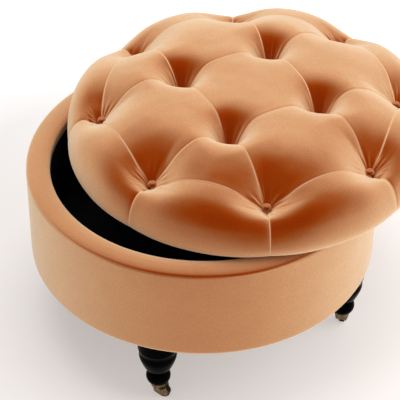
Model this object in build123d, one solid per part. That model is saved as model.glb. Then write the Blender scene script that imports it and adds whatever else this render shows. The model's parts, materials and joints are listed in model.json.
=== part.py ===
from build123d import *
import os
from math import cos, radians, sin

# Round storage ottoman: an upholstered drum on four turned legs with casters,
# and a loose deep-buttoned lid that lies on the rim, slid partly open.
# Millimetres, +Z up. The origin is on the floor, on the drum's axis.

# --- driving dimensions ---
DRUM_R = 380.0             # outside of the side cover
RIM_INNER_R = 329.5        # inside of the padded rim
BOX_BOTTOM_Z = 181.5       # underside of the box, where the legs stand
RIM_CREST_Z = 406.0        # top of the padded rim
RIM_CROWN = 4.5            # how far the rim's middle stands above its edges
CLOTH = 1.0                # dust cloth and lining thickness
COVER = 1.5                # velvet thickness
BOARD = 15.0               # bottom board and top ring thickness
HOOP = 6.0                 # outer hoop thickness
SKIN = 3.0                 # inner skin thickness
WADDING = 4.5              # padding on the side
STUD_COUNT = 8
STUD_WIDTH = 60.0
STAPLE_COUNT = 32

LID_OFFSET = 114.0         # how far the lid is slid open, along +X
LID_GAP = 0.3              # lid underside above the rim's crest
LID_SKIRT_R = 376.0        # where the lid's cover turns under
LID_WIDEST_R = 395.5       # the lid's widest radius, at mid side
LID_TOP_Z = 572.0          # top of the lid's crown
LID_SHOULDER = (345.0, 530.5)   # where the crown turns into the side (radius, z)
LID_CROWN = (190.0, 566.0)      # edge of the nearly flat middle
DECK_R = 366.0
DECK = 12.0
CLOTH_R = 346.0            # dust cloths inside the turned-under hems

INNER_BUTTON_R = 153.0     # ring of four buttons
OUTER_BUTTON_R = 318.0     # ring of eight buttons
INNER_SEAT_Z = 494.0       # bottom of each inner button's pit
OUTER_SEAT_Z = 484.0
BUTTON_R = 9.5
BUTTON_H = 7.0
PIT_TOP_R = 52.0
TWINE_R = 0.8

LEG_CIRCLE_R = 328.0
LEG_TOP_R = 43.6
LEG_WAIST_R = 39.9
LEG_BOWL_R = 40.9
LEG_NECK_R = 20.9
LEG_NECK_Z = 74.8
LEG_BALL_R = 26.4
LEG_BALL_Z = 56.5
LEG_FOOT_R = 16.0
LEG_FOOT_Z = 40.5
BOLT_R = 4.0
FIT = 0.05                 # radial running clearance, and clearance round fasteners

WHEEL_R = 14.5             # over the tyre
TYRE = 2.0
WHEEL_WIDTH = 12.0
TRAIL = 12.0               # wheel axle behind the swivel axis
CROWN_R = 16.0             # round top plate of the caster's hood
CROWN_TOP_Z = 40.2
CROWN_BOTTOM_Z = 31.0
HOOD_NOSE_R = 11.5         # rounded end of the hood round the axle
POCKET_R = 15.6            # hollow in the hood that the wheel turns in
POCKET_WIDTH = 14.0
STEM_R = 4.0
STEM_TOP_Z = 72.0
SOCKET_R = 6.0
AXLE_R = 2.0
AXLE_SPAN = 20.0           # between the pin's two heads
AXLE_HEAD_R = 3.2

LEGS = {
    "front_left": -134.3,
    "front_right": -44.3,
    "back_right": 45.7,
    "back_left": 135.7,
}
INNER_ANGLES = [45.0 + 90.0 * i for i in range(4)]
OUTER_ANGLES = [22.5 + 45.0 * i for i in range(8)]

# --- heights and radii that follow ---
BOARD_Z = BOX_BOTTOM_Z + CLOTH
BOARD_TOP_Z = BOARD_Z + BOARD
HOOP_R = DRUM_R - COVER - WADDING
HOOP_INNER_R = HOOP_R - HOOP
LINER_R = RIM_INNER_R + 0.5
SKIN_R = LINER_R + CLOTH
STUD_R = SKIN_R + SKIN
RIM_EDGE_Z = RIM_CREST_Z - RIM_CROWN
RIM_DROP_Z = RIM_CREST_Z - 28.0
PAD_BOTTOM_Z = RIM_CREST_Z - 17.0
RING_Z = PAD_BOTTOM_Z - BOARD
LID_BOTTOM_Z = RIM_CREST_Z + LID_GAP
DECK_Z = LID_BOTTOM_Z + CLOTH
DECK_TOP_Z = DECK_Z + DECK


def on_circle(radius, degrees, z=0.0):
    """A location on a circle about the Z axis."""
    return Pos(radius * cos(radians(degrees)), radius * sin(radians(degrees)), z)


def turned(points):
    """A solid of revolution about Z from straight runs of (radius, z)."""
    with BuildPart() as body:
        with BuildSketch(Plane.XZ):
            with BuildLine():
                Polyline(*points, close=True)
            make_face()
        revolve(axis=Axis.Z)
    return body.part


def ring(outer, inner, bottom, top):
    """A flat ring or tube about Z."""
    return turned([(inner, bottom), (outer, bottom), (outer, top), (inner, top)])


def disc(radius, bottom, top):
    """A flat disc about Z."""
    return Pos(0, 0, bottom) * extrude(Circle(radius), top - bottom)


def drill(solid, radius, locations, bottom, top):
    """Cut round vertical holes at the given locations."""
    for place in locations:
        solid -= place * disc(radius, bottom, top)
    return solid


def group(solids, name):
    """Several separate solids kept together as one node."""
    joined = Compound(list(solids))
    joined.label = name
    return joined


def leg_places():
    return {name: on_circle(LEG_CIRCLE_R, angle) for name, angle in LEGS.items()}


def button_places(which):
    if which == "inner":
        return [on_circle(INNER_BUTTON_R, angle) for angle in INNER_ANGLES]
    return [on_circle(OUTER_BUTTON_R, angle) for angle in OUTER_ANGLES]


# --- the drum's frame ---
def make_bottom_board():
    board = disc(HOOP_INNER_R, BOARD_Z, BOARD_TOP_Z)
    places = leg_places().values()
    board = drill(board, 5.5, places, BOARD_Z, BOARD_TOP_Z)
    return drill(board, 11.2, places, BOARD_TOP_Z - 1.6, BOARD_TOP_Z)


def make_outer_hoop():
    return ring(HOOP_R, HOOP_INNER_R, BOARD_Z, PAD_BOTTOM_Z)


def make_inner_skin():
    return ring(STUD_R, SKIN_R, BOARD_TOP_Z, RING_Z)


def make_wall_studs():
    """Wooden blocks that fill the gap between the two skins."""
    wall = ring(HOOP_INNER_R - FIT, STUD_R + FIT, BOARD_TOP_Z, RING_Z)
    height = RING_Z - BOARD_TOP_Z
    block = Pos(STUD_R + 17.0, 0, BOARD_TOP_Z + height / 2) * Box(60.0, STUD_WIDTH, height)
    stud = wall & block
    step = 360.0 / STUD_COUNT
    return group([Rot(0, 0, step * i) * stud for i in range(STUD_COUNT)], "wall_studs")


def make_top_ring():
    return ring(HOOP_INNER_R, SKIN_R, RING_Z, PAD_BOTTOM_Z)


# --- the drum's upholstery ---
def make_side_padding():
    return ring(DRUM_R - COVER, HOOP_R, BOARD_Z, PAD_BOTTOM_Z)


def make_side_cover():
    """The velvet band, turned under the bottom edge as a flat hem."""
    inside = DRUM_R - COVER
    top = RIM_EDGE_Z - 1.0
    band = ring(DRUM_R, inside, BOARD_Z, top)
    hem = ring(DRUM_R, CLOTH_R, BOX_BOTTOM_Z, BOARD_Z)
    return band + hem


def crowned_ring(inner, outer, edge_z, crest_z, bottom_z):
    """A ring whose top is an arc that crests in its middle."""
    middle = (RIM_INNER_R + DRUM_R) / 2
    with BuildPart() as body:
        with BuildSketch(Plane.XZ):
            with BuildLine():
                ThreePointArc((inner, edge_z), (middle, crest_z), (outer, edge_z))
                Line((outer, edge_z), (outer, bottom_z))
                Line((outer, bottom_z), (inner, bottom_z))
                Line((inner, bottom_z), (inner, edge_z))
            make_face()
        revolve(axis=Axis.Z)
    return body.part


def make_rim_pad():
    return crowned_ring(
        SKIN_R, DRUM_R - COVER, RIM_EDGE_Z - COVER, RIM_CREST_Z - COVER, PAD_BOTTOM_Z
    )


def make_rim_cover():
    """The velvet over the rim: crowned on top, turned down inside over the lining's edge."""
    cover = crowned_ring(RIM_INNER_R, DRUM_R + 0.5, RIM_EDGE_Z, RIM_CREST_Z, RIM_DROP_Z)
    core = crowned_ring(
        SKIN_R, DRUM_R - COVER, RIM_EDGE_Z - COVER, RIM_CREST_Z - COVER, RIM_DROP_Z - 5.0
    )
    seam_z = RIM_EDGE_Z - 0.8
    below_seam = ring(DRUM_R + 5.0, DRUM_R - COVER, RIM_DROP_Z - 5.0, seam_z)
    return cover - core - below_seam


def make_inner_liner():
    return ring(SKIN_R, LINER_R, BOARD_TOP_Z, RIM_DROP_Z)


def make_liner_floor():
    return disc(LINER_R, BOARD_TOP_Z, BOARD_TOP_Z + COVER)


def make_base_cloth():
    cloth = disc(CLOTH_R, BOX_BOTTOM_Z, BOARD_Z)
    return drill(cloth, BOLT_R + FIT, leg_places().values(), BOX_BOTTOM_Z, BOARD_Z)


def staple_ring(radius, z, low_r, name):
    """Staple crowns round the edge of a dust cloth, none of them under a leg."""
    thickness = 0.5
    crowns = []
    for i in range(STAPLE_COUNT):
        angle = 360.0 / STAPLE_COUNT * (i + 0.5)
        from_leg = min(abs((angle - leg + 180.0) % 360.0 - 180.0) for leg in LEGS.values())
        if from_leg < low_r:
            continue
        crown = Pos(radius, 0, z - thickness / 2) * Box(1.2, 11.0, thickness)
        crowns.append(Rot(0, 0, angle) * crown)
    return group(crowns, name)


# --- legs and their fastenings ---
def make_leg():
    """One turned leg on the Z axis, with a blind bore at each end."""
    collar, waist = (LEG_TOP_R - 0.4, 147.0), (LEG_WAIST_R, 134.0)
    bowl_low, taper = (39.9, 117.0), (30.0, 90.0)
    neck, foot = (LEG_NECK_R, LEG_NECK_Z), (LEG_FOOT_R, LEG_FOOT_Z)
    with BuildPart() as body:
        with BuildSketch(Plane.XZ):
            with BuildLine():
                Line((0, BOX_BOTTOM_Z), (LEG_TOP_R, BOX_BOTTOM_Z))
                Line((LEG_TOP_R, BOX_BOTTOM_Z), collar)
                ThreePointArc(collar, (40.6, 139.5), waist)
                ThreePointArc(waist, (LEG_BOWL_R, 126.0), bowl_low)
                ThreePointArc(bowl_low, (36.1, 105.0), taper)
                ThreePointArc(taper, (25.6, 82.2), neck)
                ThreePointArc(neck, (LEG_BALL_R, LEG_BALL_Z), foot)
                Line(foot, (0, LEG_FOOT_Z))
                Line((0, LEG_FOOT_Z), (0, BOX_BOTTOM_Z))
            make_face()
        revolve(axis=Axis.Z)
    leg = body.part
    leg -= disc(BOLT_R + FIT, BOX_BOTTOM_Z - 40.0, BOX_BOTTOM_Z)
    leg -= disc(SOCKET_R + FIT, LEG_FOOT_Z, STEM_TOP_Z + 4.0)
    return leg


def make_tee_nut():
    flange = ring(11.0, BOLT_R + FIT, BOARD_TOP_Z - 1.5, BOARD_TOP_Z)
    barrel = ring(5.4, BOLT_R + FIT, BOARD_Z + 2.0, BOARD_TOP_Z - 1.5)
    return flange + barrel


def make_hanger_bolt():
    return disc(BOLT_R, BOX_BOTTOM_Z - 38.0, BOARD_TOP_Z - 0.5)


def make_caster_socket():
    """Steel sleeve, closed at the top, that the caster's stem turns in."""
    sleeve = disc(SOCKET_R, LEG_FOOT_Z, STEM_TOP_Z + 3.0)
    return sleeve - disc(STEM_R + FIT, LEG_FOOT_Z, STEM_TOP_Z + 1.0)


# --- casters, made with the swivel axis on Z and the wheel trailing along +X ---
def hood_side():
    """The hood's outline seen along the axle: wide crown leaning down to a nose at the axle."""
    with BuildSketch(Plane.XZ) as side:
        with BuildLine():
            CenterArc((TRAIL - 1.0, WHEEL_R + 1.0), HOOD_NOSE_R, 0, 360)
            Line((-CROWN_R, CROWN_BOTTOM_Z), (CROWN_R, CROWN_BOTTOM_Z))
            Line((-CROWN_R, CROWN_TOP_Z), (CROWN_R, CROWN_TOP_Z))
        make_hull()
    return side.sketch


def hood_front():
    """The hood's outline seen from in front of the wheel: a cup that narrows downwards."""
    with BuildSketch(Plane.YZ) as front:
        with BuildLine():
            CenterArc((0, WHEEL_R - 1.0), HOOD_NOSE_R - 1.2, 0, 360)
            CenterArc((0, 29.0), CROWN_R - 1.0, 0, 360)
            Line((-CROWN_R, CROWN_BOTTOM_Z + 2.0), (CROWN_R, CROWN_BOTTOM_Z + 2.0))
            Line((-CROWN_R, CROWN_TOP_Z), (CROWN_R, CROWN_TOP_Z))
        make_hull()
    return front.sketch


def make_caster_fork():
    """Brass hood on a stem: a round crown that narrows to the axle, hollow round the wheel."""
    hood = extrude(hood_side(), 30.0, both=True) & extrude(hood_front(), 60.0, both=True)
    crown = disc(CROWN_R, CROWN_BOTTOM_Z, CROWN_TOP_Z)
    below = Pos(0, 0, CROWN_BOTTOM_Z - 20.0) * Box(80.0, 80.0, 40.0)
    rounded = Pos(TRAIL / 2, 0, 0) * disc(CROWN_R + 1.5, 0, CROWN_BOTTOM_Z)
    fork = crown + (hood & below & rounded) + disc(STEM_R, CROWN_BOTTOM_Z, STEM_TOP_Z)
    axle_place = Pos(TRAIL, 0, WHEEL_R) * Rot(90, 0, 0)
    fork -= axle_place * Cylinder(POCKET_R, POCKET_WIDTH)
    open_height = WHEEL_R + POCKET_R
    fork -= Pos(TRAIL + 20.0, 0, open_height / 2) * Box(40.0, POCKET_WIDTH, open_height)
    for side in (-1, 1):
        fork -= axle_place * Pos(0, 0, side * (AXLE_SPAN / 2 + 5.0)) * Cylinder(AXLE_HEAD_R + FIT, 10.0)
    return fork - axle_place * Cylinder(AXLE_R, 60.0)


def make_wheel_axle():
    """Brass pin through the hood, with a low round head let into each wall."""
    pin = Cylinder(AXLE_R, AXLE_SPAN)
    for side in (-1, 1):
        pin += Pos(0, 0, side * (AXLE_SPAN / 2 + 0.4)) * Cylinder(AXLE_HEAD_R, 0.8)
    return Pos(TRAIL, 0, WHEEL_R) * Rot(90, 0, 0) * pin


def wheel_ring(outer, inner, width, softened):
    """A ring about the wheel axle, with softened outer edges."""
    with BuildPart() as body:
        with BuildSketch():
            Circle(outer)
            Circle(inner, mode=Mode.SUBTRACT)
        extrude(amount=width / 2, both=True)
        rims = body.edges().filter_by(GeomType.CIRCLE).sort_by(SortBy.RADIUS)[-2:]
        if softened:
            fillet(rims, softened)
    return Pos(TRAIL, 0, WHEEL_R) * Rot(90, 0, 0) * body.part


def make_caster_wheel():
    return wheel_ring(WHEEL_R - TYRE, AXLE_R + FIT, WHEEL_WIDTH, 0.0)


def make_wheel_tyre():
    return wheel_ring(WHEEL_R, WHEEL_R - TYRE, WHEEL_WIDTH - 0.6, 1.0)


# --- the lid, made on the Z axis and then moved to where it lies ---
def make_lid_deck():
    """Plywood disc with a small bore and a recess underneath for each button."""
    deck = disc(DECK_R, DECK_Z, DECK_TOP_Z)
    places = button_places("inner") + button_places("outer")
    deck = drill(deck, TWINE_R + 0.4, places, DECK_Z, DECK_TOP_Z)
    return drill(deck, 10.0, places, DECK_Z, DECK_Z + 2.6)


def make_tufted_cushion():
    """Foam and velvet over the deck, with a conical pit for each button."""
    with BuildPart() as body:
        with BuildSketch(Plane.XZ):
            with BuildLine():
                Line((0, DECK_TOP_Z), (DECK_R, DECK_TOP_Z))
                Line((DECK_R, DECK_TOP_Z), (DECK_R, DECK_Z))
                Line((DECK_R, DECK_Z), (CLOTH_R, DECK_Z))
                Line((CLOTH_R, DECK_Z), (CLOTH_R, LID_BOTTOM_Z))
                Line((CLOTH_R, LID_BOTTOM_Z), (LID_SKIRT_R, LID_BOTTOM_Z))
                ThreePointArc(
                    (LID_SKIRT_R, LID_BOTTOM_Z), (LID_WIDEST_R - 7.0, 420.0), (LID_WIDEST_R, 448.0)
                )
                ThreePointArc((LID_WIDEST_R, 448.0), (386.5, 496.0), LID_SHOULDER)
                Spline(
                    LID_SHOULDER, (275.0, 554.0), LID_CROWN, (0, LID_TOP_Z),
                    tangents=((-0.86, 0.5), (-1, 0)),
                )
                Line((0, LID_TOP_Z), (0, DECK_TOP_Z))
            make_face()
        revolve(axis=Axis.Z)
    cushion = body.part
    for which, seat in (("inner", INNER_SEAT_Z), ("outer", OUTER_SEAT_Z)):
        depth = LID_TOP_Z + 2.0 - seat
        pit = Pos(0, 0, seat + depth / 2) * Cone(BUTTON_R + 1.0, PIT_TOP_R, depth)
        for place in button_places(which):
            cushion -= place * pit
            cushion -= place * disc(TWINE_R + 0.4, DECK_TOP_Z, seat)
    return cushion


def make_buttons(which, seat):
    """Domed covered buttons, each on the bottom of its pit."""
    blank = Cylinder(BUTTON_R, BUTTON_H, align=(Align.CENTER, Align.CENTER, Align.MIN))
    top = blank.edges().filter_by(GeomType.CIRCLE).sort_by(Axis.Z)[-1]
    domed = fillet(top, BUTTON_H - 2.0)
    bottom = domed.edges().filter_by(GeomType.CIRCLE).sort_by(Axis.Z)[0]
    domed = fillet(bottom, 1.5)
    button = Pos(0, 0, seat) * domed
    return group([place * button for place in button_places(which)], which + "_buttons")


def make_button_twines():
    """Upholstery twine from each button down to its washer."""
    low = DECK_Z + 2.3
    inner = [place * disc(TWINE_R, low, INNER_SEAT_Z) for place in button_places("inner")]
    outer = [place * disc(TWINE_R, low, OUTER_SEAT_Z) for place in button_places("outer")]
    return group(inner + outer, "button_twines")


def make_twine_washers():
    washer = disc(9.0, DECK_Z + 0.3, DECK_Z + 2.3)
    places = button_places("inner") + button_places("outer")
    return group([place * washer for place in places], "twine_washers")


def make_lid_cloth():
    return disc(CLOTH_R, LID_BOTTOM_Z + 0.5, DECK_Z)


def drum_nodes():
    nodes = {
        "bottom_board": make_bottom_board(),
        "outer_hoop": make_outer_hoop(),
        "inner_skin": make_inner_skin(),
        "wall_studs": make_wall_studs(),
        "top_ring": make_top_ring(),
        "side_padding": make_side_padding(),
        "side_cover": make_side_cover(),
        "rim_pad": make_rim_pad(),
        "rim_cover": make_rim_cover(),
        "inner_liner": make_inner_liner(),
        "liner_floor": make_liner_floor(),
        "base_cloth": make_base_cloth(),
        "base_staples": staple_ring(CLOTH_R - 6.0, BOX_BOTTOM_Z, 10.0, "base_staples"),
    }
    places = leg_places()
    nut = make_tee_nut()
    bolt = make_hanger_bolt()
    nodes["leg_tee_nuts"] = group([place * nut for place in places.values()], "leg_tee_nuts")
    nodes["hanger_bolts"] = group([place * bolt for place in places.values()], "hanger_bolts")
    return nodes


def leg_nodes():
    """Each leg with its socket, hood, axle, wheel and tyre; the wheels trail round the drum."""
    one_of_each = {
        "leg": make_leg(),
        "caster_socket": make_caster_socket(),
        "caster_fork": make_caster_fork(),
        "wheel_axle": make_wheel_axle(),
        "caster_wheel": make_caster_wheel(),
        "wheel_tyre": make_wheel_tyre(),
    }
    nodes = {}
    for corner, place in leg_places().items():
        turn = Rot(0, 0, LEGS[corner] + 90.0)
        for name, solid in one_of_each.items():
            nodes[name + "_" + corner] = place * turn * solid
    return nodes


def lid_nodes():
    nodes = {
        "lid_deck": make_lid_deck(),
        "tufted_cushion": make_tufted_cushion(),
        "inner_buttons": make_buttons("inner", INNER_SEAT_Z),
        "outer_buttons": make_buttons("outer", OUTER_SEAT_Z),
        "button_twines": make_button_twines(),
        "twine_washers": make_twine_washers(),
        "lid_cloth": make_lid_cloth(),
        "lid_staples": staple_ring(CLOTH_R - 6.0, LID_BOTTOM_Z + 0.5, 0.0, "lid_staples"),
    }
    return {name: Pos(LID_OFFSET, 0, 0) * solid for name, solid in nodes.items()}


def main():
    os.makedirs("parts", exist_ok=True)
    nodes = {**drum_nodes(), **leg_nodes(), **lid_nodes()}
    for name, solid in nodes.items():
        export_step(solid, "parts/" + name + ".step")


main()
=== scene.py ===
import json
import math

import bmesh
import bpy
import numpy as np
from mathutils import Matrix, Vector, noise


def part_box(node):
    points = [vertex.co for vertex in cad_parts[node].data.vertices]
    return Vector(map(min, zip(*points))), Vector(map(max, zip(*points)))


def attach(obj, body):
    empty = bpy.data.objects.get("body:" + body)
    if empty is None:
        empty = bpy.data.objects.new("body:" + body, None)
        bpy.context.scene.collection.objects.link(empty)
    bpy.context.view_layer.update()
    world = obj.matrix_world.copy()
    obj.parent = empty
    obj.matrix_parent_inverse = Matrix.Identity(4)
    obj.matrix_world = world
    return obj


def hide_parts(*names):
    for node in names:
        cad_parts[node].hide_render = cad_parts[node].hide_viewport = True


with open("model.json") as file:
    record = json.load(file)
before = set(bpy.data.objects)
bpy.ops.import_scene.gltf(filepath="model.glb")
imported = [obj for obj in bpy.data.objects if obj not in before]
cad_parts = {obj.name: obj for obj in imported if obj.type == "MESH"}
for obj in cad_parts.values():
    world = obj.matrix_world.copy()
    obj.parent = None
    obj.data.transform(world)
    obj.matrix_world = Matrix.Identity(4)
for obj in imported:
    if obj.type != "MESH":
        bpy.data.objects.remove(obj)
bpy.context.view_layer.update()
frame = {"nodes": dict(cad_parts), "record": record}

# Round storage ottoman in copper velvet. Metres, +Z up, floor at z = 0.

# --- driving dimensions, the same as the CAD model's ---
DRUM_R = 0.380              # outside of the side's velvet
RIM_INNER_R = 0.3295        # opening of the storage space
INNER_RING = 0.153          # four buttons
OUTER_RING = 0.318          # eight buttons
INNER_ANGLES = [math.radians(45 + 90 * i) for i in range(4)]
OUTER_ANGLES = [math.radians(22.5 + 45 * i) for i in range(8)]
LID_X = (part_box("lid_deck")[0].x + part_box("lid_deck")[1].x) / 2
LID_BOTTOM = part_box("tufted_cushion")[0].z
INNER_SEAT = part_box("inner_buttons")[0].z
OUTER_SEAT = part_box("outer_buttons")[0].z
BOX_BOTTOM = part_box("side_cover")[0].z
RIM_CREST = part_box("rim_cover")[1].z
CLOTH_R = 0.346             # edge of the hems, where the dust cloths begin

# --- camera ---
AZIMUTH = math.radians(-27.5)
ELEVATION = math.radians(39.86)
DISTANCE = 3.924
LENS = 160.4                # millimetres on a 36 mm sensor
AIM_HEIGHT = 0.2844         # the point it looks at
AIM_SIDE = -0.0054

# --- the lid's cover ---
# Radius and height of the puffs' envelope, from the centre out and down to the hem.
LID_ENVELOPE = [
    (0.0, 0.5690), (0.110, 0.5685), (0.190, 0.5665), (0.240, 0.5630), (0.280, 0.5565),
    (0.312, 0.5470), (0.340, 0.5345), (0.361, 0.5220), (0.378, 0.5065), (0.389, 0.4880),
    (0.3945, 0.4680), (0.3968, 0.4480), (0.3960, 0.4300), (0.3915, 0.4165), (0.3810, 0.4090),
    (0.366, 0.4068),
]
CROWN_ROWS = 90             # points of the smoothed envelope that lie on the crown
CELL_STEPS = 54             # mesh steps along each pleat
SIDE_STEPS = 66             # mesh steps from the outer pleats down to the hem
BUTTON_REACH = 0.010        # flat bottom of a pit, under its button
PIT_SPREAD = 0.0242         # how fast a pit rises round its button
PIT_BLEND = 3.0             # how sharply the deepest of several hollows wins
OUTER_PIT_EXTRA = 0.002     # how far an outer pit goes below its button
GATHER_R = 0.024            # where the fine gathers round a button are deepest
GATHER_WIDTH = 0.014
INNER_GATHER = 0.0008       # depth of the gathers
OUTER_GATHER = 0.0009
GROOVE_DEPTH = 0.0022       # dip of a pleat halfway between two buttons
GROOVE_END = 0.0050         # how much deeper it gets on the walls of the pits
GROOVE_END_RUN = 0.035      # how far from the button that is
GROOVE_NARROW = 0.006       # half widths of a pleat's sharp bottom and soft shoulders
GROOVE_WIDE = 0.020
RING_DIP = 0.0090           # how far the cover sags along the outer pleats
RING_WIDTH = 0.045          # half width of that sag
RING_BOW = 0.025            # how far the outer pleats bow out, as a share of their radius
NOTCH_SPREAD = 0.066        # how fast the notch outside an outer button fades over the side
NOTCH_TAIL = 0.006          # depth of the valley that goes on down the side
NOTCH_LENGTH = 0.150        # how far that valley reaches
NOTCH_NARROW = 0.012        # half widths of the notch's sharp bottom and soft shoulders
NOTCH_WIDE = 0.060
CREASE_DEPTH = 0.0006       # fine groove along every fold
CREASE_WIDTH = 0.0014
CREASE_STEP = 0.0013        # how far one lip of a fold stands above the other
LIP_TURN = 0.0010           # half width of the step between the two lips
LIP_REACH = 0.009           # how far the raised lip fades out sideways
EDGE_CREASE_END = 0.165     # where the fold down the side ends
FADE_RUN = 0.012            # a fold starts this far from its button
FOLD_HIGHLIGHT_WIDTH = 0.0013         # width of the painted highlight line along a fold
FOLD_HIGHLIGHT_SHARE = 0.70           # how far the painted highlight turns the colour pale on that line
ROLL_START = 0.012          # outside the outer ring, hollows turn from downwards to inwards
ROLL_LENGTH = 0.07
HEM_FADE = 0.02             # nothing is pressed into the hem's last stretch


# ---------------------------------------------------------------- mesh helpers
def smooth_line(points, steps=12):
    """Catmull-Rom curve through a few points, as an array of (radius, height)."""
    p = np.array(points, dtype=float)
    p = np.vstack([2 * p[0] - p[1], p, 2 * p[-1] - p[-2]])
    out = []
    for i in range(1, len(p) - 2):
        for k in range(steps):
            t = k / steps
            a = 2 * p[i]
            b = (p[i + 1] - p[i - 1]) * t
            c = (2 * p[i - 1] - 5 * p[i] + 4 * p[i + 1] - p[i + 2]) * t ** 2
            d = (3 * p[i] - p[i - 1] - 3 * p[i + 1] + p[i + 2]) * t ** 3
            out.append((a + b + c + d) / 2)
    out.append(p[-2])
    return np.array(out)


def add_mesh(name, verts, faces, material, body, weld=0.0, fold_highlights=None):
    """A smooth-shaded mesh object that rides on a CAD body; fold_highlights holds the painted
    highlight along its crease lines.
    """
    mesh = bpy.data.meshes.new(name)
    mesh.from_pydata([tuple(v) for v in verts], [], faces)
    if fold_highlights is not None:
        # The "fold" attribute holds the painted highlight along the creases.
        mesh.attributes.new("fold", "FLOAT", "POINT").data.foreach_set("value", fold_highlights)
    piece = bpy.data.objects.new(name, mesh)
    bpy.context.collection.objects.link(piece)
    bm = bmesh.new()
    bm.from_mesh(mesh)
    if weld:
        bmesh.ops.remove_doubles(bm, verts=bm.verts, dist=weld)
        bmesh.ops.dissolve_degenerate(bm, edges=bm.edges, dist=weld / 2)
    bmesh.ops.recalc_face_normals(bm, faces=bm.faces)
    bm.to_mesh(mesh)
    bm.free()
    for polygon in mesh.polygons:
        polygon.use_smooth = True
    mesh.materials.append(material)
    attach(piece, body)
    return piece


def grid_faces(rows, columns, closed_rows=False, start=0):
    """Quads of a grid whose vertices run row by row; closed_rows joins the last row to the first."""
    faces = []
    last = rows if closed_rows else rows - 1
    for i in range(last):
        j = (i + 1) % rows
        for k in range(columns - 1):
            a = start + i * columns + k
            b = start + j * columns + k
            faces.append((a, b, b + 1, a + 1))
    return faces


def lathe(name, profile, material, body, segments=256, centre_x=0.0, wobble=None):
    """A surface of revolution from (radius, height) points, with an optional surface wobble."""
    verts = []
    for i in range(segments):
        angle = 2 * math.pi * i / segments
        for k, (radius, height) in enumerate(profile):
            if wobble:
                dr, dz = wobble(angle, k / (len(profile) - 1), radius, height)
                radius, height = radius + dr, height + dz
            verts.append((centre_x + radius * math.cos(angle), radius * math.sin(angle), height))
    faces = grid_faces(segments, len(profile), closed_rows=True)
    return add_mesh(name, verts, faces, material, body, weld=1e-5)


def smooth_step(value):
    """From 0 to 1 with a soft start and end."""
    value = np.clip(value, 0, 1)
    return value * value * (3 - 2 * value)


def ripple(x, y, z, size):
    """Smooth repeatable noise, about -1 to 1, with features of the given size in metres."""
    return noise.noise(Vector((x / size, y / size, z / size)))


# ---------------------------------------------------------------- materials
def grey(value):
    """A neutral colour, also used for plain numbers in a ramp."""
    return (value, value, value)


def new_material(name):
    """A node material and what its recipe needs: nodes, links and the shader."""
    material = bpy.data.materials.new(name)
    material.use_nodes = True
    nodes = material.node_tree.nodes
    links = material.node_tree.links
    shader = nodes["Principled BSDF"]
    return material, nodes, links, shader


def noise_node(nodes, links, scale, detail=3.0, roughness=0.5, stretch=None):
    """A noise texture in object coordinates."""
    place = nodes.new("ShaderNodeTexCoord")
    texture = nodes.new("ShaderNodeTexNoise")
    texture.inputs["Scale"].default_value = scale
    texture.inputs["Detail"].default_value = detail
    texture.inputs["Roughness"].default_value = roughness
    if stretch:
        mapping = nodes.new("ShaderNodeMapping")
        mapping.inputs["Scale"].default_value = stretch
        links.new(place.outputs["Object"], mapping.inputs["Vector"])
        links.new(mapping.outputs["Vector"], texture.inputs["Vector"])
    else:
        links.new(place.outputs["Object"], texture.inputs["Vector"])
    return texture


def ramp_node(nodes, links, source, stops):
    """A colour ramp with (position, colour) stops."""
    ramp = nodes.new("ShaderNodeValToRGB")
    elements = ramp.color_ramp.elements
    elements[0].position, elements[0].color = stops[0][0], (*stops[0][1], 1)
    elements[1].position, elements[1].color = stops[-1][0], (*stops[-1][1], 1)
    for position, colour in stops[1:-1]:
        element = elements.new(position)
        element.color = (*colour, 1)
    links.new(source, ramp.inputs["Fac"])
    return ramp


def mix_colour(nodes, links, factor, first, second, mode="MIX"):
    """Mixes two colours; factor, first and second are sockets or plain values."""
    mix = nodes.new("ShaderNodeMix")
    mix.data_type = "RGBA"
    mix.blend_type = mode
    factor_input, first_input, second_input, colour_output = 0, 6, 7, 2
    for index, value in ((factor_input, factor), (first_input, first), (second_input, second)):
        if isinstance(value, bpy.types.NodeSocket):
            links.new(value, mix.inputs[index])
        elif index == factor_input:
            mix.inputs[index].default_value = value
        else:
            mix.inputs[index].default_value = (*value, 1)
    return mix.outputs[colour_output]


def bump_chain(nodes, links, shader, layers):
    """Stacks bump layers of (height socket, strength, distance) on the shader's normal."""
    normal = None
    for height, strength, distance in layers:
        bump = nodes.new("ShaderNodeBump")
        bump.inputs["Strength"].default_value = strength
        bump.inputs["Distance"].default_value = distance
        links.new(height, bump.inputs["Height"])
        if normal:
            links.new(normal, bump.inputs["Normal"])
        normal = bump.outputs["Normal"]
    links.new(normal, shader.inputs["Normal"])


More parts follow.
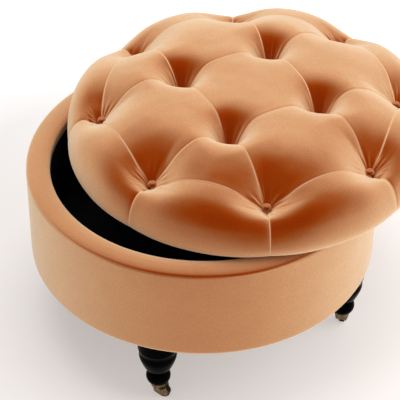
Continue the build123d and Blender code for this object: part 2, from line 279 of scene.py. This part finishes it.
def velvet_material(name="velvet", painted_shade=grey(1.0)):
    """Short-pile velvet whose colour is painted by facing: deep copper face on and pale where the pile
    is seen from the side, as a painted sheen.

    The attribute "fold" paints a pale highlight along a crease; painted_shade darkens the whole colour
    as painted shade.
    """
    material, nodes, links, shader = new_material(name)
    pile = noise_node(nodes, links, 380.0, 3.0)
    brushed = noise_node(nodes, links, 16.0, 4.0, 0.6)
    # Painted sheen: the base colour follows how squarely the surface faces the camera, dark copper
    # face on and pale at grazing, in place of the light the pile catches.
    layer = nodes.new("ShaderNodeLayerWeight")
    layer.inputs["Blend"].default_value = 0.5
    painted_sheen = ramp_node(nodes, links, layer.outputs["Facing"], [
        (0.0, (0.285, 0.030, 0.0)),
        (0.045, (0.315, 0.045, 0.001)),
        (0.11, (0.368, 0.094, 0.022)),
        (0.16, (0.430, 0.148, 0.054)),
        (0.21, (0.495, 0.196, 0.083)),
        (0.28, (0.592, 0.266, 0.121)),
        (0.36, (0.670, 0.338, 0.162)),
        (0.62, (0.830, 0.530, 0.310)),
        (1.0, (0.950, 0.760, 0.560)),
    ])
    mottle = ramp_node(nodes, links, brushed.outputs["Fac"],
                       [(0.3, (0.955, 0.945, 0.935)), (0.7, grey(1.0))])
    colour = mix_colour(nodes, links, 1.0, painted_sheen.outputs["Color"], mottle.outputs["Color"], "MULTIPLY")
    grain = ramp_node(nodes, links, pile.outputs["Fac"],
                      [(0.35, (0.87, 0.855, 0.84)), (0.65, grey(1.0))])
    colour = mix_colour(nodes, links, 1.0, colour, grain.outputs["Color"], "MULTIPLY")
    # Painted highlight: the fold attribute turns the colour pale along each crease, where a fold would
    # catch the light.
    fold = nodes.new("ShaderNodeAttribute")
    fold.attribute_name = "fold"
    colour = mix_colour(nodes, links, fold.outputs["Fac"], colour, (0.880, 0.545, 0.310))
    # Painted shade: multiplies the whole colour darker, used for the buttons.
    colour = mix_colour(nodes, links, 1.0, colour, painted_shade, "MULTIPLY")
    links.new(colour, shader.inputs["Base Color"])
    shader.inputs["Roughness"].default_value = 0.9
    shader.inputs["Specular IOR Level"].default_value = 0.04
    shader.inputs["Sheen Weight"].default_value = 0.04
    shader.inputs["Sheen Roughness"].default_value = 0.45
    shader.inputs["Sheen Tint"].default_value = (1.0, 0.78, 0.58, 1)
    bump_chain(nodes, links, shader, [(pile.outputs["Fac"], 0.18, 0.0006),
                                      (brushed.outputs["Fac"], 0.08, 0.003)])
    return material


def lacquer_material():
    """Black gloss lacquer over turned wood, with faint orange peel and dust."""
    material, nodes, links, shader = new_material("black_lacquer")
    peel = noise_node(nodes, links, 160.0, 2.0)
    dust = noise_node(nodes, links, 45.0, 5.0, 0.65)
    tone = ramp_node(nodes, links, dust.outputs["Fac"],
                     [(0.35, (0.0003, 0.0002, 0.0002)), (0.8, (0.0012, 0.0010, 0.0009))])
    links.new(tone.outputs["Color"], shader.inputs["Base Color"])
    rough = ramp_node(nodes, links, dust.outputs["Fac"],
                      [(0.4, grey(0.10)), (0.75, grey(0.2))])
    links.new(rough.outputs["Color"], shader.inputs["Roughness"])
    shader.inputs["Specular IOR Level"].default_value = 0.012
    bump_chain(nodes, links, shader, [(peel.outputs["Fac"], 0.05, 0.0005)])
    return material


def brass_material():
    """Aged brass: brown patina in patches, brighter where it is rubbed."""
    material, nodes, links, shader = new_material("antique_brass")
    patina = noise_node(nodes, links, 140.0, 6.0, 0.65)
    fine = noise_node(nodes, links, 900.0, 3.0)
    tone = ramp_node(nodes, links, patina.outputs["Fac"], [
        (0.3, (0.085, 0.050, 0.022)),
        (0.5, (0.200, 0.130, 0.062)),
        (0.72, (0.360, 0.255, 0.130)),
    ])
    links.new(tone.outputs["Color"], shader.inputs["Base Color"])
    shader.inputs["Metallic"].default_value = 0.85
    rough = ramp_node(nodes, links, patina.outputs["Fac"],
                      [(0.3, grey(0.62)), (0.7, grey(0.38))])
    links.new(rough.outputs["Color"], shader.inputs["Roughness"])
    bump_chain(nodes, links, shader, [(fine.outputs["Fac"], 0.15, 0.0004)])
    return material


def rubber_material():
    """Black rubber, scuffed by the floor."""
    material, nodes, links, shader = new_material("black_rubber")
    scuff = noise_node(nodes, links, 220.0, 5.0, 0.7)
    tone = ramp_node(nodes, links, scuff.outputs["Fac"],
                     [(0.35, (0.004, 0.004, 0.004)), (0.8, (0.015, 0.013, 0.012))])
    links.new(tone.outputs["Color"], shader.inputs["Base Color"])
    shader.inputs["Roughness"].default_value = 0.6
    shader.inputs["Specular IOR Level"].default_value = 0.12
    bump_chain(nodes, links, shader, [(scuff.outputs["Fac"], 0.12, 0.0004)])
    return material


def steel_material():
    """Zinc plated steel with its faint spangle."""
    material, nodes, links, shader = new_material("zinc_steel")
    spangle = noise_node(nodes, links, 260.0, 4.0, 0.6)
    tone = ramp_node(nodes, links, spangle.outputs["Fac"],
                     [(0.3, (0.34, 0.35, 0.36)), (0.7, (0.62, 0.63, 0.64))])
    links.new(tone.outputs["Color"], shader.inputs["Base Color"])
    shader.inputs["Metallic"].default_value = 1.0
    shader.inputs["Roughness"].default_value = 0.35
    bump_chain(nodes, links, shader, [(spangle.outputs["Fac"], 0.08, 0.0003)])
    return material


def plywood_material():
    """Raw birch plywood: long grain and small pores."""
    material, nodes, links, shader = new_material("plywood")
    grain = noise_node(nodes, links, 14.0, 8.0, 0.65, stretch=(1.0, 9.0, 9.0))
    pores = noise_node(nodes, links, 420.0, 3.0)
    tone = ramp_node(nodes, links, grain.outputs["Fac"], [
        (0.3, (0.42, 0.27, 0.14)),
        (0.55, (0.60, 0.43, 0.25)),
        (0.75, (0.70, 0.54, 0.34)),
    ])
    links.new(tone.outputs["Color"], shader.inputs["Base Color"])
    shader.inputs["Roughness"].default_value = 0.7
    bump_chain(nodes, links, shader, [(grain.outputs["Fac"], 0.15, 0.0006),
                                      (pores.outputs["Fac"], 0.10, 0.0003)])
    return material


HALF_WAVES = 6.0            # a wave texture's half waves in a metre at scale 1, one for each thread


def woven_material(name, dark, light, threads=1500.0, rough=0.95):
    """Plain woven or spunbonded cloth with crossed threads."""
    material, nodes, links, shader = new_material(name)
    place = nodes.new("ShaderNodeTexCoord")
    waves = []
    for direction in ("X", "Y", "Z"):
        wave = nodes.new("ShaderNodeTexWave")
        wave.bands_direction = direction
        wave.inputs["Scale"].default_value = threads / HALF_WAVES
        wave.inputs["Distortion"].default_value = 1.5
        wave.inputs["Detail"].default_value = 2.0
        links.new(place.outputs["Object"], wave.inputs["Vector"])
        waves.append(wave.outputs["Fac"])
    crossed = nodes.new("ShaderNodeMath")
    crossed.operation = "MAXIMUM"
    links.new(waves[0], crossed.inputs[0])
    links.new(waves[1], crossed.inputs[1])
    weave = nodes.new("ShaderNodeMath")
    weave.operation = "MULTIPLY_ADD"
    links.new(waves[2], weave.inputs[0])
    weave.inputs[1].default_value = 0.5
    links.new(crossed.outputs[0], weave.inputs[2])
    lint = noise_node(nodes, links, 60.0, 5.0, 0.7)
    tone = ramp_node(nodes, links, lint.outputs["Fac"], [(0.3, dark), (0.75, light)])
    links.new(tone.outputs["Color"], shader.inputs["Base Color"])
    shader.inputs["Roughness"].default_value = rough
    shader.inputs["Specular IOR Level"].default_value = 0.1
    bump_chain(nodes, links, shader, [(weave.outputs[0], 0.2, 0.0004)])
    return material


def floor_material():
    """Pale matt floor with painted light: it glows a little, more so far from the object and on its
    right, and warmer near the object as painted bounce from the velvet.
    """
    material, nodes, links, shader = new_material("studio_floor")
    cloud = noise_node(nodes, links, 3.0, 3.0)
    tone = ramp_node(nodes, links, cloud.outputs["Fac"],
                     [(0.2, (0.62, 0.605, 0.60)), (0.8, (0.64, 0.625, 0.62))])
    links.new(tone.outputs["Color"], shader.inputs["Base Color"])
    shader.inputs["Roughness"].default_value = 0.8
    shader.inputs["Specular IOR Level"].default_value = 0.1
    place = nodes.new("ShaderNodeTexCoord")
    distance = nodes.new("ShaderNodeVectorMath")
    distance.operation = "LENGTH"
    links.new(place.outputs["Object"], distance.inputs[0])
    # Painted light: the glow rises with distance from the object, and its warm near stop is painted
    # bounce from the copper velvet.
    glow = ramp_node(nodes, links, distance.outputs["Value"], [
        (0.35, (0.535, 0.490, 0.462)),
        (0.80, (0.510, 0.500, 0.495)),
        (1.50, grey(0.780)),
    ])
    # Painted light: the glow is brighter towards the key light's side.
    across = nodes.new("ShaderNodeVectorMath")
    across.operation = "DOT_PRODUCT"
    across.inputs[1].default_value = (0.9, -0.45, 0.0)
    links.new(place.outputs["Object"], across.inputs[0])
    shift = nodes.new("ShaderNodeMath")
    shift.operation = "ADD"
    shift.inputs[1].default_value = 0.5
    links.new(across.outputs["Value"], shift.inputs[0])
    right_side_glow = ramp_node(nodes, links, shift.outputs[0], [(0.0, grey(0.6)), (1.0, grey(1.0))])
    colour = mix_colour(nodes, links, 1.0, glow.outputs["Color"], right_side_glow.outputs["Color"], "MULTIPLY")
    links.new(colour, shader.inputs["Emission Color"])
    shader.inputs["Emission Strength"].default_value = 1.0
    return material


# ---------------------------------------------------------------- the tufted lid
def ring_points(radius, angles):
    """Points on a circle about the lid's centre."""
    return np.array([(radius * math.cos(a), radius * math.sin(a)) for a in angles])


def envelope():
    """The lid's smooth envelope: length along it, points and outward normals."""
    line = smooth_line(LID_ENVELOPE)
    steps = np.diff(line, axis=0)
    length = np.concatenate([[0], np.cumsum(np.hypot(steps[:, 0], steps[:, 1]))])
    tangent = np.gradient(line, axis=0)
    tangent /= np.linalg.norm(tangent, axis=1)[:, None]
    normal = np.stack([-tangent[:, 1], tangent[:, 0]], 1)
    return length, line, normal


def crowded(steps):
    """Values from 0 to 1 that crowd at both ends, where the pleats are."""
    return 0.5 - 0.5 * np.cos(np.pi * np.linspace(0, 1, steps + 1))


def cell_grid(corners):
    """Bilinear grid of points over four corners; two corners may coincide."""
    u = crowded(CELL_STEPS)[:, None, None]
    v = crowded(CELL_STEPS)[None, :, None]
    a, b, c, d = corners
    return (1 - u) * (1 - v) * a + u * (1 - v) * b + u * v * c + (1 - u) * v * d


def side_grid(first, second, outer_length):
    """Grid from the pleat between two outer buttons down over the side to the hem."""
    along = first + (second - first) * crowded(CELL_STEPS)[:, None]
    length = np.linalg.norm(along, axis=1)
    unit = along / length[:, None]
    down = np.linspace(0, 1, SIDE_STEPS + 1) ** 1.15
    reach = length[:, None] + (outer_length - length)[:, None] * down[None, :]
    return unit[:, None, :] * reach[:, :, None]


def lid_cells(inner, outer, outer_length):
    """All cells of the cover, flattened out: the centre, the ring of cells and the sides."""
    cells = [cell_grid([inner[0], inner[1], inner[2], inner[3]])]
    for i in range(4):
        near = inner[i]
        left, right = outer[2 * i], outer[2 * i + 1]
        following = inner[(i + 1) % 4]
        beyond = outer[(2 * i + 2) % 8]
        cells.append(cell_grid([near, left, right, near]))
        cells.append(cell_grid([near, right, beyond, following]))
    for i in range(8):
        cells.append(side_grid(outer[i], outer[(i + 1) % 8], outer_length))
    return cells


def beside_segment(points, start, end):
    """Distance beside a segment with its sign, and the share of its length at each point."""
    run = end - start
    total = np.linalg.norm(run)
    unit = run / total
    relative = points - start
    share = np.clip(relative @ unit / total, 0, 1)
    nearest = relative - share[..., None] * run
    distance = np.linalg.norm(nearest, axis=-1)
    side = np.sign(relative[..., 0] * unit[1] - relative[..., 1] * unit[0])
    return distance, distance * side, share


def fall(distance, spread, power=1.25):
    """From 1 over a button to 0 far from it, flat under the button itself."""
    return np.exp(-(np.clip(distance - BUTTON_REACH, 0, None) / spread) ** power)


def pleat_shape(distance, narrow, wide, sharp=0.45):
    """Cross-section of a pleat's valley, with a sharp bottom and soft shoulders."""
    return sharp * np.exp(-distance / narrow) + (1 - sharp) * np.exp(-(distance / wide) ** 2)


def crease_shape(distance, signed):
    """The fold line itself: a fine groove with one lip standing higher."""
    groove = CREASE_DEPTH * np.exp(-distance / CREASE_WIDTH)
    lip = CREASE_STEP * np.tanh(signed / LIP_TURN) * np.exp(-distance / LIP_REACH)
    return groove + lip


def radial_folds(points, button, count, phase, amplitude):
    """Fine gathers that fan out round a button."""
    offset = points - button
    distance = np.linalg.norm(offset, axis=-1)
    angle = np.arctan2(offset[..., 1], offset[..., 0])
    wave = np.cos(count * angle + phase) + 0.7 * np.cos((count + 6) * angle - 2 * phase)
    ring = np.exp(-((distance - GATHER_R) / GATHER_WIDTH) ** 2)
    return amplitude * wave * ring


def fold_highlight_line(distance, run):
    """How strong the painted highlight is along a fold, fading near its button."""
    start = np.clip((run - FADE_RUN) / 0.03, 0, 1)
    return FOLD_HIGHLIGHT_SHARE * np.exp(-(distance / FOLD_HIGHLIGHT_WIDTH) ** 2) * start


def pleat_groove(points, start, end):
    """The nearly flush groove along a pleat, a little deeper on the walls of the pits."""
    distance, signed, share = beside_segment(points, start, end)
    total = np.linalg.norm(end - start)
    run = np.minimum(share, 1 - share) * total
    depth = GROOVE_DEPTH + GROOVE_END * np.exp(-((run - GROOVE_END_RUN) / 0.020) ** 2)
    start = np.clip((run - FADE_RUN / 2) / FADE_RUN, 0, 1)
    groove = depth * pleat_shape(distance, GROOVE_NARROW, GROOVE_WIDE) * start
    groove += crease_shape(distance, signed) * np.exp(-(2 * share - 1) ** 14)
    return groove, fold_highlight_line(distance, run)


def ring_sag(points, start, end):
    """The broad shallow valley along an outer pleat."""
    distance, _, _ = beside_segment(points, start, end)
    return RING_DIP * np.exp(-(distance / RING_WIDTH) ** 2)


def notch_valley(points, button, foot, depth):
    """The edge pleat: from an outer button out over the lid's edge, fading towards the hem."""
    distance, signed, share = beside_segment(points, button, foot)
    run = share * np.linalg.norm(foot - button)
    tail = NOTCH_TAIL * np.clip(1 - run / NOTCH_LENGTH, 0, 1)
    dip = depth * fall(run, NOTCH_SPREAD, power=1.3) + tail
    valley = dip * pleat_shape(distance, NOTCH_NARROW, NOTCH_WIDE, sharp=0.3)
    ends = np.clip((EDGE_CREASE_END - run) / 0.03, 0, 1) * np.clip(run / FADE_RUN, 0, 1)
    return valley, crease_shape(distance, signed) * ends, fold_highlight_line(distance, run)


def lid_depth(points, inner, outer, shape):
    """How far the cover lies below its envelope at each flattened point, and the painted highlight
    along its fold lines.

    Where several hollows meet, their mean is weighted towards the deepest, so none adds to another.
    """
    length, line, _ = shape
    crown = line[:CROWN_ROWS]
    inner_depth = np.interp(INNER_RING, crown[:, 0], crown[:, 1]) - INNER_SEAT
    outer_depth = np.interp(OUTER_RING, crown[:, 0], crown[:, 1]) - OUTER_SEAT + OUTER_PIT_EXTRA
    hollows = []
    sags = []
    creases = np.zeros(points.shape[:-1])
    fold_highlights = np.zeros(points.shape[:-1])
    for i, button in enumerate(inner):
        distance = np.linalg.norm(points - button, axis=-1)
        hollows.append(inner_depth * fall(distance, PIT_SPREAD))
        creases += radial_folds(points, button, 13, 1.3 * i, INNER_GATHER)
        for end in (inner[(i + 1) % 4], outer[2 * i], outer[2 * i + 1]):
            groove, fold = pleat_groove(points, button, end)
            creases += groove
            fold_highlights = np.maximum(fold_highlights, fold)
    for i, button in enumerate(outer):
        distance = np.linalg.norm(points - button, axis=-1)
        hollows.append(outer_depth * fall(distance, PIT_SPREAD))
        sags.append(ring_sag(points, button, outer[(i + 1) % 8]))
        creases += radial_folds(points, button, 17, 0.9 * i, OUTER_GATHER)
        groove, fold = pleat_groove(points, button, outer[(i + 1) % 8])
        foot = button / np.linalg.norm(button) * length[-1]
        valley, crease, edge_fold_highlight = notch_valley(points, button, foot, outer_depth)
        hollows.append(valley)
        creases += groove + crease
        fold_highlights = np.maximum(fold_highlights, np.maximum(fold, edge_fold_highlight))
    weighted = sum(hollow ** (PIT_BLEND + 1) for hollow in hollows)
    weight = sum(hollow ** PIT_BLEND for hollow in hollows)
    pits = weighted / np.maximum(weight, 1e-12)
    sag = np.maximum.reduce(sags)
    return pits + sag * np.clip(1 - pits / outer_depth, 0, 1) + creases, fold_highlights


def bowed(points, ring, outer_length):
    """Moves flattened points so that the outer pleats bow out between their buttons."""
    flat = np.linalg.norm(points, axis=-1)
    angle = np.arctan2(points[..., 1], points[..., 0])
    half = math.pi / len(OUTER_ANGLES)
    offset = (angle + half) % (2 * half) - half
    chord = ring * math.cos(half) / np.cos(offset)
    arc = ring * (1 - RING_BOW * np.cos(math.pi / 2 * offset / half) ** 2)
    blend = smooth_step((flat / chord - 0.55) / 0.45)
    inside = flat * (1 + (arc / chord - 1) * blend)
    outside = arc + (flat - chord) * (outer_length - arc) / (outer_length - chord)
    return np.where(flat <= chord, inside, outside), angle


def lid_points(points, inner, outer, shape):
    """Places flattened points on the envelope and presses the pits and pleats into it."""
    length, line, normal = shape
    ring = np.linalg.norm(outer[0])
    flat, angle = bowed(points, ring, length[-1])
    radius = np.interp(flat, length, line[:, 0])
    height = np.interp(flat, length, line[:, 1])
    out = np.interp(flat, length, normal[:, 0])
    up = np.interp(flat, length, normal[:, 1])
    rolled = smooth_step((flat - ring - ROLL_START) / ROLL_LENGTH)
    out, up = out * rolled, 1 + (up - 1) * rolled
    hem = np.clip((length[-1] - flat) / HEM_FADE, 0, 1)
    depth, fold_highlights = lid_depth(points, inner, outer, shape)
    radius = radius - depth * hem * out
    height = height - depth * hem * up
    placed = np.stack([LID_X + radius * np.cos(angle), radius * np.sin(angle), height], -1)
    return placed, fold_highlights * hem


def make_lid_cover(velvet):
    """The deep-buttoned velvet cover, cell by cell, with its hem turned under the deck."""
    shape = envelope()
    length, line, _ = shape
    inner = ring_points(INNER_RING, INNER_ANGLES)
    outer_reach = np.interp(OUTER_RING, line[:CROWN_ROWS, 0], length[:CROWN_ROWS])
    outer = ring_points(outer_reach, OUTER_ANGLES)
    verts, faces, highlight_marks = [], [], []
    for grid in lid_cells(inner, outer, length[-1]):
        rows, columns = grid.shape[:2]
        faces += grid_faces(rows, columns, start=len(verts))
        placed, fold_highlights = lid_points(grid, inner, outer, shape)
        # Each vertex keeps the strength of the painted highlight along the folds.
        highlight_marks.extend(fold_highlights.ravel())
        for x, y, z in placed.reshape(-1, 3):
            lift = 0.0012 * ripple(x, y, z, 0.09) + 0.0005 * ripple(x, y, z, 0.03)
            verts.append((x, y, z + lift * min(1.0, (z - LID_BOTTOM) / 0.02)))
    cover = add_mesh("lid_cover", verts, faces, velvet, "lid", weld=2e-4, fold_highlights=highlight_marks)
    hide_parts("tufted_cushion")


def make_lid_hem(velvet):
    """The cover's edge turned flat under the deck."""
    line = smooth_line([(0.3665, 0.4069), (0.360, LID_BOTTOM + 0.0002), (0.352, LID_BOTTOM + 0.0003),
                        (CLOTH_R + 0.0005, LID_BOTTOM + 0.0006)], 4)

    def wobble(angle, share, radius, height):
        pucker = 0.0003 * math.cos(96 * angle) * share
        return 0.0, abs(pucker)

    hem = lathe("lid_hem", line, velvet, "lid", 384, LID_X, wobble)


# ---------------------------------------------------------------- the drum
def make_rim(velvet):
    """The padded rim: crowned on top, rolled over the inner edge, tucked into the seam outside."""
    crest = RIM_CREST
    inner, outer = RIM_INNER_R, DRUM_R
    profile = smooth_line([
        (inner + 0.0015, crest - 0.0290), (inner + 0.0001, crest - 0.0220),
        (inner - 0.0005, crest - 0.0120), (inner + 0.0010, crest - 0.0058),
        (inner + 0.0075, crest - 0.0020), (inner + 0.0155, crest - 0.0006),
        (inner + 0.0245, crest - 0.0002), (outer - 0.0140, crest - 0.0010),
        (outer - 0.0050, crest - 0.0027), (outer - 0.0013, crest - 0.0047),
        (outer, crest - 0.0073), (outer + 0.0002, crest - 0.0102),
        (outer - 0.0010, crest - 0.0120), (outer - 0.0030, crest - 0.0124),
    ], 5)

    def wobble(angle, share, radius, height):
        x, y = radius * math.cos(angle), radius * math.sin(angle)
        swell = 0.0007 * ripple(x, y, 0.0, 0.16)
        return swell, -abs(swell)

    rim = lathe("rim_band", profile, velvet, "drum", 360, 0.0, wobble)
    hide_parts("rim_cover", "rim_pad")


def make_side(velvet):
    """The velvet band round the side, rounded at the bottom and turned under as a hem."""
    top = RIM_CREST - 0.0096
    low = BOX_BOTTOM
    outer = DRUM_R
    profile = smooth_line([
        (outer - 0.0015, top), (outer - 0.0001, top - 0.0004), (outer + 0.0003, top - 0.0012),
        (outer + 0.0004, top - 0.0200), (outer + 0.0006, top - 0.0700),
        (outer + 0.0004, low + 0.0800), (outer + 0.0001, low + 0.0140),
        (outer - 0.0007, low + 0.0055), (outer - 0.0032, low + 0.0014), (outer - 0.0080, low),
        (outer - 0.0200, low - 0.0001), (CLOTH_R, low + 0.0002),
    ], 5)

    def wobble(angle, share, radius, height):
        x, y = radius * math.cos(angle), radius * math.sin(angle)
        swell = 0.0008 * ripple(x, y, height, 0.16) + 0.0003 * ripple(x, y, height, 0.05)
        return (swell, 0.0) if height > low + 0.004 else (0.0, 0.0)

    side = lathe("side_band", profile, velvet, "drum", 360, 0.0, wobble)
    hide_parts("side_cover", "side_padding")


def make_lining(cloth):
    """Black lining: a band round the wall with loose vertical waves, and a round floor."""
    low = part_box("inner_liner")[0].z
    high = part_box("inner_liner")[1].z
    wall_r = RIM_INNER_R + 0.0010
    wall = [(wall_r, high), (wall_r, high - 0.02), (wall_r, (low + high) / 2), (wall_r, low + 0.0005)]

    def drape(angle, share, radius, height):
        wave = 0.0014 * (1 + math.sin(23 * angle + 3 * math.sin(3 * angle)))
        return -wave * math.sin(math.pi * share), 0.0

    band = lathe("lining_wall", smooth_line(wall, 8), cloth, "drum", 288, 0.0, drape)
    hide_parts("inner_liner")

    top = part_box("liner_floor")[1].z
    reach = [(wall_r - 0.0005, top + 0.0080), (wall_r - 0.0012, top + 0.0028),
             (wall_r - 0.0060, top + 0.0003), (0.25, top), (0.17, top), (0.08, top), (0.0, top)]

    def settle(angle, share, radius, height):
        x, y = radius * math.cos(angle), radius * math.sin(angle)
        return 0.0, 0.0008 * abs(ripple(x, y, 0.3, 0.07))

    floor = lathe("lining_floor", smooth_line(reach, 8), cloth, "drum", 192, 0.0, settle)
    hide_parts("liner_floor")


def make_dust_cloths(cloth):
    """Black dust cloths stapled under the box and under the lid, sagging a little."""
    for name, node, body, centre, under, sag in (
        ("dust_cloth_box", "base_cloth", "drum", 0.0, "bottom_board", 0.003),
        ("dust_cloth_lid", "lid_cloth", "lid", LID_X, "lid_deck", 0.0),
    ):
        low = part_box(node)[0].z
        reach = [(CLOTH_R - 0.0005, low), (0.30, low), (0.20, low), (0.10, low), (0.0, low)]

        def hang(angle, share, radius, height, sag=sag):
            x, y = radius * math.cos(angle), radius * math.sin(angle)
            pull = 0.0002 * math.cos(32 * angle) * (1 - share) ** 4
            return 0.0, pull - sag * share * (0.8 + 0.4 * ripple(x, y, 0.1, 0.2))

        sheet = lathe(name, smooth_line(reach, 8), cloth, body, 256, centre, hang)
        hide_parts(node)


# ---------------------------------------------------------------- CAD parts
def paint_cad_parts(materials):
    """Each carried-over CAD node takes the material of its record slot, but the buttons get a darker
    copy of the velvet as painted shade.
    """
    slots = {part["node"]: part["material_slot"] for part in frame["record"]["subparts"]}
    for node, thing in frame["nodes"].items():
        material = materials["buttons" if node.endswith("_buttons") else slots[node]]
        thing.data.materials.clear()
        thing.data.materials.append(material)


# ---------------------------------------------------------------- studio
def area_light(name, place, target, size, power):
    """A round soft light that points at the target."""
    light = bpy.data.lights.new(name, "AREA")
    light.shape = "DISK"
    light.size = size
    light.energy = power
    lamp = bpy.data.objects.new(name, light)
    lamp.location = place
    lamp.rotation_euler = (Vector(target) - Vector(place)).to_track_quat("-Z", "Y").to_euler()
    bpy.context.collection.objects.link(lamp)


def make_studio():
    """Pale floor, white surroundings and soft light from above."""
    reach = 14.0
    mesh = bpy.data.meshes.new("studio_floor")
    corners = [(-reach, -reach, 0), (reach, -reach, 0), (reach, reach, 0), (-reach, reach, 0)]
    mesh.from_pydata(corners, [], [(0, 1, 2, 3)])
    mesh.materials.append(floor_material())
    floor = bpy.data.objects.new("studio_floor", mesh)
    bpy.context.collection.objects.link(floor)
    world = bpy.data.worlds.new("studio")
    world.use_nodes = True
    background = world.node_tree.nodes["Background"]
    background.inputs["Color"].default_value = (1.0, 0.995, 0.99, 1)
    background.inputs["Strength"].default_value = 0.57
    bpy.context.scene.world = world
    area_light("key", (2.1, -1.6, 1.8), (0.05, 0, 0.35), size=2.4, power=23.0)
    area_light("front_fill", (-1.3, -2.6, 0.9), (0.05, 0, 0.40), size=1.8, power=1.0)
    area_light("top", (-0.2, 0.5, 3.4), (0.05, 0, 0.40), size=2.6, power=50.0)
    bpy.context.scene.view_settings.view_transform = "Standard"
    bpy.context.scene.view_settings.look = "None"


def make_camera():
    """A long lens that looks down on the ottoman from its front left."""
    back = Vector((math.sin(AZIMUTH) * math.cos(ELEVATION),
                   -math.cos(AZIMUTH) * math.cos(ELEVATION),
                   math.sin(ELEVATION)))
    right = Vector((math.cos(AZIMUTH), math.sin(AZIMUTH), 0))
    aim = Vector((0, 0, AIM_HEIGHT)) + right * AIM_SIDE
    data = bpy.data.cameras.new("camera")
    data.lens = LENS
    data.sensor_width = 36.0
    camera = bpy.data.objects.new("camera", data)
    camera.location = aim + back * DISTANCE
    camera.rotation_euler = (-back).to_track_quat("-Z", "Y").to_euler()
    bpy.context.collection.objects.link(camera)
    bpy.context.scene.camera = camera


def main():
    """Makes the camera, paints the CAD nodes, builds the cloth pieces and lights them."""
    make_camera()
    velvet = velvet_material()
    lining = woven_material("black_lining", (0.004, 0.004, 0.0042), (0.012, 0.012, 0.0125))
    dust = woven_material("dust_cloth", (0.012, 0.012, 0.0125), (0.035, 0.035, 0.036), 900.0)
    twine = woven_material("twine", (0.40, 0.33, 0.20), (0.62, 0.54, 0.38), 2600.0)
    wadding = woven_material("wadding", (0.70, 0.68, 0.62), (0.85, 0.83, 0.78), 500.0)
    paint_cad_parts({
        "velvet": velvet,
        # The buttons' velvet is darkened as painted shade of the deep pits they sit in.
        "buttons": velvet_material("button_velvet_painted_shade", painted_shade=(0.70, 0.50, 0.40)),
        "wadding": wadding, "black_lining": lining, "dust_cloth": dust,
        "twine": twine, "plywood": plywood_material(), "black_lacquer": lacquer_material(),
        "antique_brass": brass_material(), "black_rubber": rubber_material(),
        "zinc_steel": steel_material(),
    })
    make_lid_cover(velvet)
    make_lid_hem(velvet)
    make_rim(velvet)
    make_side(velvet)
    make_lining(lining)
    make_dust_cloths(dust)
    make_studio()


main()
